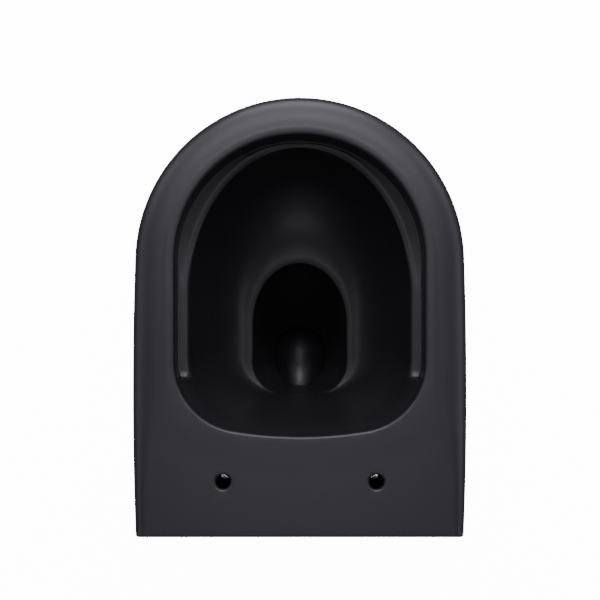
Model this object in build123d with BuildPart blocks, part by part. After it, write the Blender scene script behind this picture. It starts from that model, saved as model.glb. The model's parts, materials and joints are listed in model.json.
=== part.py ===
from build123d import *
from math import atan2, cos, radians, sin, sqrt
import os

# Wall-hung WC pan: rimless bowl, P-trap, full skirt and concealed wall fixings.
# +Z is up, the wall is the plane y = 0 and the round front points to -Y.
# The origin is midway between the two wall studs. Millimetres.

# Driving dimensions of the body
WIDTH = 358
LENGTH = 471
HEIGHT = 335
RIM_TOP = 80                 # the studs sit 80 below the rim
BASE_HALF_WIDTH = 100        # the flat underside
BASE_REACH = 200
SIDE_RADIUS = 3960           # the sides are very slightly bowed
WIDEST_Y = -161
WALL = 10                    # glazed ceramic thickness
BOWL_WALL = 9
DECK = 12                    # rim and deck plate
RIM_EDGE_FILLET = 9
LIP_FILLET = 5.5

# Bowl opening, seen from above
OPENING_RADIUS = 133.5       # half width, and the radius of the round front
OPENING_CENTRE_Y = -297
OPENING_REAR_Y = -109
OPENING_CORNER = 75
OPENING_BOW = 440            # radius of the bowed rear edge
BOW_RATIO = 3.3              # the same bow inside the bowl, for each half width

# Bowl, at the ledge and at the edge of the sump
BOWL_HALF_WIDTH = 120
BOWL_FRONT_Y = -419.5
BOWL_CENTRE_Y = -262         # the half ellipse of the front starts here
BOWL_REAR_Y = -119
BOWL_CORNER = 66
SUMP_HALF_WIDTH = 54
SUMP_FRONT_Y = -296
SUMP_CENTRE_Y = -225
SUMP_REAR_Y = -143
SUMP_CORNER = 38

# Levels inside the bowl
LEDGE_DEPTH = 42             # flush ledge below the rim
SUMP_DEPTH = 185             # edge of the sump below the rim
SHROUD_Y = -168              # the ledges end here, at the flush outlets
SHROUD_STEP = 16             # height of the upright foot of the shroud
SHROUD_LEAN = 0.1            # how far the foot has leaned out at its top, as a share
SHROUD_WALL = 4

# Trap: dip and weir are levels of the waterway's centre
TRAP_BORE = 30               # radius of the waterway
TRAP_WALL = 8
TRAP_MOUTH_Y = -192
TRAP_MOUTH_CORNER = 24
DIP_Z = -210
DIP_END_Y = -150
DIP_BEND = 50
WEIR_Z = -95
WEIR_Y = -70
WEIR_BEND = 45
WEIR_END_Y = -40

# Connections on the wall side
OUTLET_Z = -100
SPIGOT_RADIUS = 51
SPIGOT_BORE = 41
SPIGOT_LENGTH = 48
SPIGOT_EDGE = 1.5
CONE_LENGTH = 14
CONE_RISE = 2                # the waterway comes in slightly above the spigot's centre
INLET_Z = 35
INLET_BORE = 27.5
INLET_WALL = 5
STUD_X = 90                  # half of the 180 stud spacing
STUD_HOLE = 6.5              # clearance for an M12 stud
SEAT_X = 82                  # half of the 164 seat hinge spacing
SEAT_Y = -59.5
SEAT_HOLE = 7.75

# Back web and its windows for the fixing blocks
WEB_BACK_Y = -3
WEB_FRONT_Y = -13
WEB_BOTTOM_Z = -62
SPIGOT_CLEARANCE = 12        # room round the spigot for the connector
SHELF_WIDTH = 32
SHELF_FRONT_Y = -78

# Fixing block, one on each stud
BLOCK_WIDTH = 32
BLOCK_REAR = 30              # length of the part that the stud goes through
BLOCK_BOTTOM_Z = -26
BLOCK_TOP_Z = 16
BLOCK_FILLET = 2
POST_CHAMFER = 1.5
ARM_WIDTH = 24
ARM_REAR_Y = -16
ARM_TOP_Z = -13
POST_FRONT_Y = -71
POST_REAR_Y = -48
POST_TOP_Z = 12
SLEEVE_WALL = 2.5
SLEEVE_GAP = 0.5
SLEEVE_FRONT_Y = -14
WASHER_RADIUS = 12
WASHER_THICKNESS = 2.5
NUT_FLATS = 18
NUT_THICKNESS = 10
NUT_BORE = 6.1

# Clamp screw and foot
SCREW_RADIUS = 5
SCREW_LENGTH = 40
SCREW_CHAMFER = 0.8
SCREW_TIP = 3
TIP_LENGTH = 4
KEY_FLATS = 5
KEY_DEPTH = 6
RUNNING_FIT = 0.08
FOOT_SIZE = 21
FOOT_TOP_Z = -33
FOOT_SOLE_Z = -42            # underside of the foot, straight below the screw
RAMP_ANGLE = 12
CLAMP_GAP = 0.3              # between pieces that move past each other
PAD_SIZE = 28
PAD_THICKNESS = 3
PAD_CORNER = 3

# Flush distributor
SPLITTER_HALF_WIDTH = 36
SPLITTER_BACK_Y = -108
SPLITTER_NOSE_Y = -86
SPLITTER_WALL = 2.5
SPLITTER_TOP_Z = 62

# Flush chamber
BOX_HALF_WIDTH = 48
BOX_REAR_Y = -72
BOX_BOTTOM_Z = -5
BOX_WALL = 7
BOX_REACH = 30               # reaches into the bowl's wall and is trimmed to it
CHANNEL_OUTSIDE = 24         # channel walls, measured out from the opening
CHANNEL_INSIDE = 17

# Construction
LOFT_ANGLES = range(0, 91, 15)       # stations of a quarter ellipse, in degrees
PAST = 1                             # how far a cut runs past a face

# Levels worked out from the above
LEDGE_Z = RIM_TOP - LEDGE_DEPTH
SUMP_Z = RIM_TOP - SUMP_DEPTH
BOTTOM_Z = RIM_TOP - HEIGHT
DECK_UNDERSIDE_Z = RIM_TOP - DECK
FLANGE_UNDERSIDE_Z = LEDGE_Z - WALL
BOX_DEPTH = BOX_REAR_Y - OPENING_REAR_Y + BOX_REACH
WINDOW_WIDTH = BLOCK_WIDTH + 2 * (SLEEVE_WALL + SLEEVE_GAP)
WINDOW_HEIGHT = BLOCK_TOP_Z - BLOCK_BOTTOM_Z + 2 * (SLEEVE_WALL + SLEEVE_GAP)
WINDOW_Z = (BLOCK_TOP_Z + BLOCK_BOTTOM_Z) / 2


def body_outline(half_width, reach, back=0):
    """Outline of the body at one level: straight at the wall, bowed sides and a round front."""
    widest = WIDEST_Y * reach / LENGTH
    ahead = reach + widest
    front_radius = (half_width * (2 * SIDE_RADIUS - half_width) - ahead**2) / (2 * (SIDE_RADIUS - ahead))
    side_centre = Vector(half_width - SIDE_RADIUS, widest)
    front_centre = Vector(0, front_radius - reach)
    tangent = front_centre + (front_centre - side_centre).normalized() * front_radius
    at_wall = side_centre.X + sqrt(SIDE_RADIUS**2 - (back - widest) ** 2)
    with BuildSketch() as outline:
        with BuildLine():
            Line((-at_wall, back), (at_wall, back))
            ThreePointArc((at_wall, back), (half_width, widest), (tangent.X, tangent.Y))
            ThreePointArc((tangent.X, tangent.Y), (0, -reach), (-tangent.X, tangent.Y))
            ThreePointArc((-tangent.X, tangent.Y), (-half_width, widest), (-at_wall, back))
        make_face()
    return outline.sketch


def opening_outline(offset_by=0):
    """Outline of the bowl opening, grown by offset_by."""
    half_width = OPENING_RADIUS + offset_by
    front = OPENING_CENTRE_Y - half_width
    rear = OPENING_REAR_Y + offset_by
    corner = OPENING_CORNER + offset_by
    return egg_outline(half_width, front, OPENING_CENTRE_Y, rear, corner, OPENING_BOW + offset_by)


def egg_outline(half_width, front, centre, rear, corner, bow):
    """Half ellipse in front of centre, straight sides, round rear corners and a bowed rear edge."""
    flat = half_width - corner
    bow_y = rear - bow
    corner_y = bow_y + sqrt((bow - corner) ** 2 - flat**2)
    bow_angle = atan2(flat, corner_y - bow_y)
    joint = (bow * sin(bow_angle), bow_y + bow * cos(bow_angle))
    knee_angle = (radians(90) + bow_angle) / 2
    knee = (flat + corner * sin(knee_angle), corner_y + corner * cos(knee_angle))
    with BuildSketch() as outline:
        with BuildLine():
            EllipticalCenterArc((0, centre), half_width, centre - front, start_angle=180, arc_size=180)
            Line((half_width, centre), (half_width, corner_y))
            ThreePointArc((half_width, corner_y), knee, joint)
            ThreePointArc(joint, (0, rear), (-joint[0], joint[1]))
            ThreePointArc((-joint[0], joint[1]), (-knee[0], knee[1]), (-half_width, corner_y))
            Line((-half_width, corner_y), (-half_width, centre))
        make_face()
    return outline.sketch


def bowl_outline(blend, depth_share, wall=0):
    """Outline of the bowl: blend is 1 at the ledge and 0 at the sump, wall grows it outwards."""
    half_width = SUMP_HALF_WIDTH + (BOWL_HALF_WIDTH - SUMP_HALF_WIDTH) * blend
    front = SUMP_FRONT_Y + (BOWL_FRONT_Y - SUMP_FRONT_Y) * blend - wall
    centre = SUMP_CENTRE_Y + (BOWL_CENTRE_Y - SUMP_CENTRE_Y) * blend
    rear = BOWL_REAR_Y + (SUMP_REAR_Y - BOWL_REAR_Y) * depth_share + wall
    corner = SUMP_CORNER + (BOWL_CORNER - SUMP_CORNER) * blend + wall
    return egg_outline(half_width + wall, front, centre, rear, corner, BOW_RATIO * half_width + wall)


def bowl_block(wall=0):
    """Solid that fills the bowl from the ledge to the sump, grown by wall."""
    depth = SUMP_DEPTH - LEDGE_DEPTH + wall
    with BuildPart() as block:
        for angle in LOFT_ANGLES:
            across, along = cos(radians(angle)), sin(radians(angle))
            with BuildSketch(Plane.XY.offset(LEDGE_Z - depth * along)):
                add(bowl_outline(across, along, wall))
        loft()
    return block.part


def trap_path():
    """Centre line of the waterway from the sump, under the tongue, over the weir to the spigot."""
    with BuildLine(Plane.YZ) as path:
        FilletPolyline(
            (TRAP_MOUTH_Y, DIP_Z),
            (DIP_END_Y, DIP_Z),
            (WEIR_Y, WEIR_Z),
            (WEIR_END_Y, OUTLET_Z + CONE_RISE),
            radius=(DIP_BEND, WEIR_BEND),
        )
    return path


def trap_block(wall=0):
    """Solid that fills the sump and the waterway, grown by wall."""
    top = SUMP_Z - WALL
    path = trap_path()
    with BuildPart() as block:
        for share in (0, 0.5, 1):
            half_width = SUMP_HALF_WIDTH + (TRAP_BORE - SUMP_HALF_WIDTH) * share + wall
            front = SUMP_FRONT_Y + (TRAP_MOUTH_Y - TRAP_BORE - SUMP_FRONT_Y) * share - wall
            centre = SUMP_CENTRE_Y + (TRAP_MOUTH_Y - SUMP_CENTRE_Y) * share
            rear = SUMP_REAR_Y + (TRAP_MOUTH_Y + TRAP_BORE - SUMP_REAR_Y) * share + wall
            corner = SUMP_CORNER + (TRAP_MOUTH_CORNER - SUMP_CORNER) * share + wall
            bow = BOW_RATIO * SUMP_HALF_WIDTH + wall
            with BuildSketch(Plane.XY.offset(top + (DIP_Z - top) * share)):
                add(egg_outline(half_width, front, centre, rear, corner, bow))
        loft()
        with Locations((0, TRAP_MOUTH_Y, DIP_Z)):
            Sphere(TRAP_BORE + wall)
        with BuildSketch(Plane(path.line @ 0, z_dir=path.line % 0)):
            Circle(TRAP_BORE + wall)
        sweep(path=path.line)
    return block.part


def spigot_block(pipe_radius, cone_radius, back):
    """Solid of the spigot: a cylinder that narrows to the waterway in front of it."""
    with BuildPart() as block:
        with BuildSketch(Plane.XZ.offset(-back)):
            with Locations((0, OUTLET_Z)):
                Circle(pipe_radius)
        extrude(amount=SPIGOT_LENGTH + back)
        with BuildSketch(Plane.XZ.offset(SPIGOT_LENGTH)):
            with Locations((0, OUTLET_Z)):
                Circle(pipe_radius)
        with BuildSketch(Plane.XZ.offset(SPIGOT_LENGTH + CONE_LENGTH)):
            with Locations((0, OUTLET_Z + CONE_RISE)):
                Circle(cone_radius)
        loft()
    return block.part


def body_block(inset=0, back=0):
    """Solid of the body below the ledge: the sides turn in under it like the hull of a boat."""
    height = LEDGE_Z - BOTTOM_Z - inset
    with BuildPart() as block:
        for angle in LOFT_ANGLES:
            across, along = cos(radians(angle)), sin(radians(angle))
            half_width = BASE_HALF_WIDTH + (WIDTH / 2 - BASE_HALF_WIDTH) * across - inset
            reach = BASE_REACH + (LENGTH - BASE_REACH) * across - inset
            with BuildSketch(Plane.XY.offset(LEDGE_Z - height * along)):
                add(body_outline(half_width, reach, back))
        loft()
    return block.part


def shroud_block(wall=0):
    """Solid inside the rear shroud: upright at the ledge, then leaning out to the opening."""
    levels = ((LEDGE_Z, 0), (LEDGE_Z + SHROUD_STEP, SHROUD_LEAN), (DECK_UNDERSIDE_Z, 1))
    foot_bow = BOW_RATIO * BOWL_HALF_WIDTH
    with BuildPart() as block:
        for level, lean in levels:
            half_width = BOWL_HALF_WIDTH + (OPENING_RADIUS - BOWL_HALF_WIDTH) * lean + wall
            rear = BOWL_REAR_Y + (OPENING_REAR_Y - BOWL_REAR_Y) * lean + wall
            corner = BOWL_CORNER + (OPENING_CORNER - BOWL_CORNER) * lean + wall
            bow = foot_bow + (OPENING_BOW - foot_bow) * lean + wall
            with BuildSketch(Plane.XY.offset(level)):
                add(egg_outline(half_width, BOWL_FRONT_Y - wall, BOWL_CENTRE_Y, rear, corner, bow))
        loft(ruled=True)
    return block.part


def ramp_plane(x, lift):
    """Plane of the sloped clamping faces: it falls towards the front, lift above the foot's sole."""
    normal = (0, -sin(radians(RAMP_ANGLE)), cos(radians(RAMP_ANGLE)))
    return Plane(origin=(x, SEAT_Y, FOOT_SOLE_Z), x_dir=(1, 0, 0), z_dir=normal).offset(lift)


os.makedirs("parts", exist_ok=True)

# ---- Ceramic castings ----

body = body_block()
bowl_filled = bowl_block(BOWL_WALL)
trap_filled = trap_block(TRAP_WALL)

# Rim and rear deck: a plate with a hanging outer wall and, round the ledge, a hanging inner wall
with BuildPart() as rim_casting:
    with BuildSketch(Plane.XY.offset(LEDGE_Z)):
        add(body_outline(WIDTH / 2, LENGTH))
    extrude(amount=LEDGE_DEPTH)
    top_edges = rim_casting.faces().sort_by(Axis.Z)[-1].edges()
    fillet(top_edges.sort_by(Axis.Y)[:-1], RIM_EDGE_FILLET)
    with BuildSketch(Plane.XY.offset(LEDGE_Z)) as hollow:
        add(body_outline(WIDTH / 2 - WALL, LENGTH - WALL, back=PAST))
        with BuildSketch(mode=Mode.PRIVATE) as inner_wall:
            add(opening_outline(WALL))
            with Locations((0, SHROUD_Y)):
                Rectangle(WIDTH, LENGTH, align=(Align.CENTER, Align.MIN), mode=Mode.SUBTRACT)
        add(inner_wall.sketch, mode=Mode.SUBTRACT)
    extrude(amount=LEDGE_DEPTH - DECK, mode=Mode.SUBTRACT)
    with BuildSketch(Plane.XY.offset(LEDGE_Z)):
        add(opening_outline())
    extrude(amount=LEDGE_DEPTH, mode=Mode.SUBTRACT)
    lip = rim_casting.faces().sort_by(Axis.Z)[-1].inner_wires()[0].edges()
    fillet(lip, LIP_FILLET)
    with Locations(Plane.XY.offset(RIM_TOP)):
        with Locations((-SEAT_X, SEAT_Y), (SEAT_X, SEAT_Y)):
            Hole(SEAT_HOLE, depth=DECK)
rim_casting.part.label = "rim_casting"
export_step(rim_casting.part, "parts/rim_casting.step")

# Bowl: ledge flange on top, then the shell down to the flat ring round the sump
with BuildPart() as bowl_casting:
    add(bowl_filled)
    with BuildSketch(Plane.XY.offset(FLANGE_UNDERSIDE_Z)):
        add(opening_outline(WALL))
    extrude(amount=WALL)
    with BuildSketch(Plane.XY.offset(FLANGE_UNDERSIDE_Z)) as channel_floor:
        add(opening_outline(CHANNEL_OUTSIDE))
        with Locations((0, SHROUD_Y)):
            Rectangle(WIDTH, LENGTH, align=(Align.CENTER, Align.MAX), mode=Mode.SUBTRACT)
    extrude(amount=WALL)
    add(bowl_block(), mode=Mode.SUBTRACT)
    with BuildSketch(Plane.XY.offset(SUMP_Z)):
        add(bowl_outline(0, 1))
    extrude(amount=-2 * WALL, mode=Mode.SUBTRACT)
    split(bisect_by=Plane.XY.offset(SUMP_Z - WALL), keep=Keep.TOP)
    with Locations((0, OPENING_REAR_Y, LEDGE_Z)):
        Box(
            2 * (BOX_HALF_WIDTH - BOX_WALL), CHANNEL_OUTSIDE + PAST, 3 * WALL,
            align=(Align.CENTER, Align.MIN, Align.CENTER), mode=Mode.SUBTRACT,
        )
bowl_casting.part.label = "bowl_casting"
export_step(bowl_casting.part, "parts/bowl_casting.step")

# Trap: funnel of the sump, dip, rising leg and weir, cut square where the spigot begins
with BuildPart() as trap_casting:
    add(trap_filled)
    add(trap_block(), mode=Mode.SUBTRACT)
    split(bisect_by=Plane.XZ.offset(SPIGOT_LENGTH + CONE_LENGTH), keep=Keep.TOP)
trap_casting.part.label = "trap_casting"
export_step(trap_casting.part, "parts/trap_casting.step")

with BuildPart() as outlet_spigot:
    add(spigot_block(SPIGOT_RADIUS, TRAP_BORE + TRAP_WALL, 0))
    add(spigot_block(SPIGOT_BORE, TRAP_BORE, PAST), mode=Mode.SUBTRACT)
    fillet(outlet_spigot.edges().group_by(Axis.Y)[-1], SPIGOT_EDGE)
outlet_spigot.part.label = "outlet_spigot"
export_step(outlet_spigot.part, "parts/outlet_spigot.step")

# Outer skirt: closed round the front and underneath, open to the wall
with BuildPart() as outer_skirt:
    add(body)
    add(body_block(WALL, back=PAST), mode=Mode.SUBTRACT)
    add(trap_filled, mode=Mode.SUBTRACT)
outer_skirt.part.label = "outer_skirt"
export_step(outer_skirt.part, "parts/outer_skirt.step")

# Back web: cross wall under the deck, with the fixing windows and the inlet hole
with BuildPart() as back_web:
    add(body)
    with BuildSketch(Plane.XY.offset(LEDGE_Z)):
        add(body_outline(WIDTH / 2, LENGTH))
    extrude(amount=DECK_UNDERSIDE_Z - LEDGE_Z)
    with BuildSketch(Plane.XZ.offset(-WEB_BACK_Y)):
        with Locations((0, WEB_BOTTOM_Z)):
            Rectangle(WIDTH, DECK_UNDERSIDE_Z - WEB_BOTTOM_Z, align=(Align.CENTER, Align.MIN))
        with Locations((0, INLET_Z)):
            Circle(INLET_BORE + INLET_WALL, mode=Mode.SUBTRACT)
        with Locations((0, OUTLET_Z)):
            Circle(SPIGOT_RADIUS + SPIGOT_CLEARANCE, mode=Mode.SUBTRACT)
        with Locations((-STUD_X, WINDOW_Z), (STUD_X, WINDOW_Z)):
            Rectangle(WINDOW_WIDTH, WINDOW_HEIGHT, mode=Mode.SUBTRACT)
    extrude(amount=WEB_BACK_Y - WEB_FRONT_Y, mode=Mode.INTERSECT)
    add(rim_casting.part, mode=Mode.SUBTRACT)
    add(outer_skirt.part, mode=Mode.SUBTRACT)
back_web.part.label = "back_web"
export_step(back_web.part, "parts/back_web.step")

# Clamp shelves: ceramic ledges on the back web that the clamp feet press on
for side, way in (("left", -1), ("right", 1)):
    with BuildPart() as clamp_shelf:
        with Locations((way * SEAT_X, WEB_FRONT_Y, WEB_BOTTOM_Z)):
            Box(
                SHELF_WIDTH, WEB_FRONT_Y - SHELF_FRONT_Y, -WEB_BOTTOM_Z,
                align=(Align.CENTER, Align.MAX, Align.MIN),
            )
        split(bisect_by=ramp_plane(way * SEAT_X, -CLAMP_GAP - PAD_THICKNESS), keep=Keep.BOTTOM)
    clamp_shelf.part.label = f"clamp_shelf_{side}"
    export_step(clamp_shelf.part, f"parts/clamp_shelf_{side}.step")

# Inlet horn: tube from the back web to the flush box
with BuildPart() as inlet_horn:
    with BuildSketch(Plane.XZ.offset(-WEB_BACK_Y)):
        with Locations((0, INLET_Z)):
            Circle(INLET_BORE + INLET_WALL)
            Circle(INLET_BORE, mode=Mode.SUBTRACT)
    extrude(amount=WEB_BACK_Y - BOX_REAR_Y)
inlet_horn.part.label = "inlet_horn"
export_step(inlet_horn.part, "parts/inlet_horn.step")

# Shroud: the wall that the ledges run into, in front of the flush chamber
with BuildPart() as flush_shroud:
    add(shroud_block(SHROUD_WALL))
    add(shroud_block(), mode=Mode.SUBTRACT)
    split(bisect_by=Plane.XZ.offset(-SHROUD_Y), keep=Keep.BOTTOM)
flush_shroud.part.label = "flush_shroud"
export_step(flush_shroud.part, "parts/flush_shroud.step")

# Flush box: the chamber behind the bowl that the inlet fills
with BuildPart() as flush_box:
    with Locations((0, BOX_REAR_Y, BOX_BOTTOM_Z)):
        Box(
            2 * BOX_HALF_WIDTH, BOX_DEPTH, DECK_UNDERSIDE_Z - BOX_BOTTOM_Z,
            align=(Align.CENTER, Align.MAX, Align.MIN),
        )
    with Locations((0, BOX_REAR_Y - BOX_WALL, BOX_BOTTOM_Z + BOX_WALL)):
        Box(
            2 * (BOX_HALF_WIDTH - BOX_WALL), BOX_DEPTH, DECK_UNDERSIDE_Z - BOX_BOTTOM_Z,
            align=(Align.CENTER, Align.MAX, Align.MIN), mode=Mode.SUBTRACT,
        )
    with Locations((0, OPENING_REAR_Y + CHANNEL_INSIDE, LEDGE_Z)):
        Box(
            2 * BOX_HALF_WIDTH, BOX_DEPTH, LEDGE_DEPTH,
            align=(Align.CENTER, Align.MAX, Align.MIN), mode=Mode.SUBTRACT,
        )
    with Locations(Plane.XZ.offset(-BOX_REAR_Y)):
        with Locations((0, INLET_Z)):
            Hole(INLET_BORE, depth=2 * BOX_WALL)
    with BuildSketch(Plane.XY.offset(FLANGE_UNDERSIDE_Z)):
        add(opening_outline(CHANNEL_OUTSIDE))
    extrude(amount=WALL, mode=Mode.SUBTRACT)
    add(bowl_filled, mode=Mode.SUBTRACT)
flush_box.part.label = "flush_box"
export_step(flush_box.part, "parts/flush_box.step")

# Flush channels: from the box round the rear corners of the opening to the outlets on the ledges
for side, keep in (("left", Keep.BOTTOM), ("right", Keep.TOP)):
    with BuildPart() as flush_channel:
        with BuildSketch(Plane.XY.offset(LEDGE_Z)):
            add(opening_outline(CHANNEL_OUTSIDE))
            with Locations((0, SHROUD_Y)):
                Rectangle(WIDTH, LENGTH, align=(Align.CENTER, Align.MAX), mode=Mode.SUBTRACT)
        extrude(amount=DECK_UNDERSIDE_Z - LEDGE_Z)
        with BuildSketch(Plane.XY.offset(LEDGE_Z)):
            add(opening_outline(CHANNEL_INSIDE))
            with Locations((0, SHROUD_Y + CHANNEL_OUTSIDE - CHANNEL_INSIDE)):
                Rectangle(WIDTH, LENGTH, align=(Align.CENTER, Align.MAX), mode=Mode.SUBTRACT)
            with Locations((0, SHROUD_Y)):
                Rectangle(2 * (OPENING_RADIUS + WALL), 2 * WALL)
            Rectangle(2 * BOX_HALF_WIDTH, LENGTH)
        extrude(amount=DECK_UNDERSIDE_Z - LEDGE_Z, mode=Mode.SUBTRACT)
        split(bisect_by=Plane.YZ, keep=keep)
    flush_channel.part.label = f"flush_channel_{side}"
    export_step(flush_channel.part, f"parts/flush_channel_{side}.step")

# ---- Moulded and metal pieces ----

# Flush distributor: upright V that splits the water to the two channels
with BuildPart() as flush_distributor:
    with BuildSketch(Plane.XY.offset(BOX_BOTTOM_Z + BOX_WALL)):
        with BuildLine():
            Polyline(
                (-SPLITTER_HALF_WIDTH, SPLITTER_BACK_Y),
                (0, SPLITTER_NOSE_Y),
                (SPLITTER_HALF_WIDTH, SPLITTER_BACK_Y),
                (SPLITTER_HALF_WIDTH - 2 * SPLITTER_WALL, SPLITTER_BACK_Y),
                (0, SPLITTER_NOSE_Y - SPLITTER_WALL),
                (2 * SPLITTER_WALL - SPLITTER_HALF_WIDTH, SPLITTER_BACK_Y),
                close=True,
            )
        make_face()
    extrude(amount=SPLITTER_TOP_Z - BOX_BOTTOM_Z - BOX_WALL)
    with BuildSketch(Plane.XY.offset(BOX_BOTTOM_Z + BOX_WALL)):
        with Locations((0, SPLITTER_BACK_Y)):
            Rectangle(2 * SPLITTER_HALF_WIDTH, 4 * SPLITTER_WALL, align=(Align.CENTER, Align.MIN))
    extrude(amount=SPLITTER_WALL)
flush_distributor.part.label = "flush_distributor"
export_step(flush_distributor.part, "parts/flush_distributor.step")

# Clamping set, one for each side
for side, way in (("left", -1), ("right", 1)):
    # Fixing block: rear body on the stud, arm under the nut, post with the threaded hole
    with BuildPart() as fixing_block:
        with Locations((way * STUD_X, 0, BLOCK_BOTTOM_Z)):
            Box(
                BLOCK_WIDTH, BLOCK_REAR, BLOCK_TOP_Z - BLOCK_BOTTOM_Z,
                align=(Align.CENTER, Align.MAX, Align.MIN),
            )
        fillet(fixing_block.edges().filter_by(Axis.Y), BLOCK_FILLET)
        with Locations((way * SEAT_X, POST_FRONT_Y, BLOCK_BOTTOM_Z)):
            Box(
                ARM_WIDTH, ARM_REAR_Y - POST_FRONT_Y, ARM_TOP_Z - BLOCK_BOTTOM_Z,
                align=(Align.CENTER, Align.MIN, Align.MIN),
            )
            Box(
                ARM_WIDTH, POST_REAR_Y - POST_FRONT_Y, POST_TOP_Z - BLOCK_BOTTOM_Z,
                align=(Align.CENTER, Align.MIN, Align.MIN),
            )
        chamfer(fixing_block.faces().sort_by(Axis.Y)[0].edges(), POST_CHAMFER)
        with Locations(Plane.XZ):
            with Locations((way * STUD_X, 0)):
                Hole(STUD_HOLE, depth=BLOCK_REAR)
        with Locations((way * SEAT_X, SEAT_Y, POST_TOP_Z)):
            Hole(SCREW_RADIUS + RUNNING_FIT, depth=POST_TOP_Z - BLOCK_BOTTOM_Z)
    fixing_block.part.label = f"fixing_block_{side}"
    export_step(fixing_block.part, f"parts/fixing_block_{side}.step")

    # Sleeve: liner of the window in the web
    with BuildPart() as hole_sleeve:
        with BuildSketch(Plane.XZ.offset(-WEB_BACK_Y)):
            with Locations((way * STUD_X, WINDOW_Z)):
                Rectangle(WINDOW_WIDTH, WINDOW_HEIGHT)
                Rectangle(
                    WINDOW_WIDTH - 2 * SLEEVE_WALL, WINDOW_HEIGHT - 2 * SLEEVE_WALL,
                    mode=Mode.SUBTRACT,
                )
        extrude(amount=WEB_BACK_Y - SLEEVE_FRONT_Y)
    hole_sleeve.part.label = f"hole_sleeve_{side}"
    export_step(hole_sleeve.part, f"parts/hole_sleeve_{side}.step")

    # Clamp screw: set screw with a key socket on top and a plain tip that turns in the foot
    with BuildPart() as clamp_screw:
        with BuildSketch(Plane.XY.offset(FOOT_TOP_Z + CLAMP_GAP)):
            with Locations((way * SEAT_X, SEAT_Y)):
                Circle(SCREW_RADIUS)
        extrude(amount=SCREW_LENGTH)
        chamfer(clamp_screw.edges().group_by(Axis.Z)[-1], SCREW_CHAMFER)
        with BuildSketch(Plane.XY.offset(FOOT_TOP_Z + CLAMP_GAP)):
            with Locations((way * SEAT_X, SEAT_Y)):
                Circle(SCREW_TIP)
        extrude(amount=-TIP_LENGTH)
        with BuildSketch(Plane.XY.offset(FOOT_TOP_Z + CLAMP_GAP + SCREW_LENGTH)):
            with Locations((way * SEAT_X, SEAT_Y)):
                RegularPolygon(KEY_FLATS / 2, 6, major_radius=False)
        extrude(amount=-KEY_DEPTH, mode=Mode.SUBTRACT)
    clamp_screw.part.label = f"clamp_screw_{side}"
    export_step(clamp_screw.part, f"parts/clamp_screw_{side}.step")

    # Clamp foot: square wedge, flat on top and sloped underneath
    with BuildPart() as clamp_foot:
        with Locations((way * SEAT_X, SEAT_Y, FOOT_TOP_Z)):
            Box(FOOT_SIZE, FOOT_SIZE, FOOT_SIZE, align=(Align.CENTER, Align.CENTER, Align.MAX))
        split(bisect_by=ramp_plane(way * SEAT_X, 0), keep=Keep.TOP)
        fillet(clamp_foot.edges().filter_by(Axis.Z), PAD_CORNER)
        with Locations((way * SEAT_X, SEAT_Y, FOOT_TOP_Z)):
            Hole(SCREW_TIP + RUNNING_FIT, depth=TIP_LENGTH)
    clamp_foot.part.label = f"clamp_foot_{side}"
    export_step(clamp_foot.part, f"parts/clamp_foot_{side}.step")

    # Shelf pad: plate between the foot and the ceramic shelf
    with BuildPart() as shelf_pad:
        with BuildSketch(ramp_plane(way * SEAT_X, -CLAMP_GAP)):
            RectangleRounded(PAD_SIZE, PAD_SIZE, PAD_CORNER)
        extrude(amount=-PAD_THICKNESS)
    shelf_pad.part.label = f"shelf_pad_{side}"
    export_step(shelf_pad.part, f"parts/shelf_pad_{side}.step")

# Washers and nuts of the two studs
with BuildPart() as stud_washers:
    with BuildSketch(Plane.XZ.offset(BLOCK_REAR)):
        with Locations((-STUD_X, 0), (STUD_X, 0)):
            Circle(WASHER_RADIUS)
            Circle(STUD_HOLE, mode=Mode.SUBTRACT)
    extrude(amount=WASHER_THICKNESS)
stud_washers.part.label = "stud_washers"
export_step(stud_washers.part, "parts/stud_washers.step")

with BuildPart() as stud_nuts:
    with BuildSketch(Plane.XZ.offset(BLOCK_REAR + WASHER_THICKNESS)):
        with Locations((-STUD_X, 0), (STUD_X, 0)):
            RegularPolygon(NUT_FLATS / 2, 6, major_radius=False)
            Circle(NUT_BORE, mode=Mode.SUBTRACT)
    extrude(amount=NUT_THICKNESS)
stud_nuts.part.label = "stud_nuts"
export_step(stud_nuts.part, "parts/stud_nuts.step")
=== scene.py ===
import json
import math

import bmesh
import bpy
import numpy as np
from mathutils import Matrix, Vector

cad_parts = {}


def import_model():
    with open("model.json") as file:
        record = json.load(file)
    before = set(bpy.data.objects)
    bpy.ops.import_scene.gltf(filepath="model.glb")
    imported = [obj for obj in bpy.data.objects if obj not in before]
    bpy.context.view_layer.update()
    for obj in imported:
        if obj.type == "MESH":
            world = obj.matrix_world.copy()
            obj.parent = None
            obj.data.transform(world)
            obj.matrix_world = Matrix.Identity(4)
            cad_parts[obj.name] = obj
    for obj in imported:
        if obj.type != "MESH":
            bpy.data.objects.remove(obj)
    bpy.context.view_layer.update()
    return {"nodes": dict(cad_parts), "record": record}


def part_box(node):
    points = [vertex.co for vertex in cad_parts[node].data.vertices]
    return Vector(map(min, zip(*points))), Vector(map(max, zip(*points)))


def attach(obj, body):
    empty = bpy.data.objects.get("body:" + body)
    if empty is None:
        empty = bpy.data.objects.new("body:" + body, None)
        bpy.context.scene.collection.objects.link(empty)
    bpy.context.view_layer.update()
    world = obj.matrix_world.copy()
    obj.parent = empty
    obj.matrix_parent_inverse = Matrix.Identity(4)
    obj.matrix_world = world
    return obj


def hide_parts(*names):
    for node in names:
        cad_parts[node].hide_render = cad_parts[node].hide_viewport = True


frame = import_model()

# ---------------------------------------------------------------- places, in metres, from the frame

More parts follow.
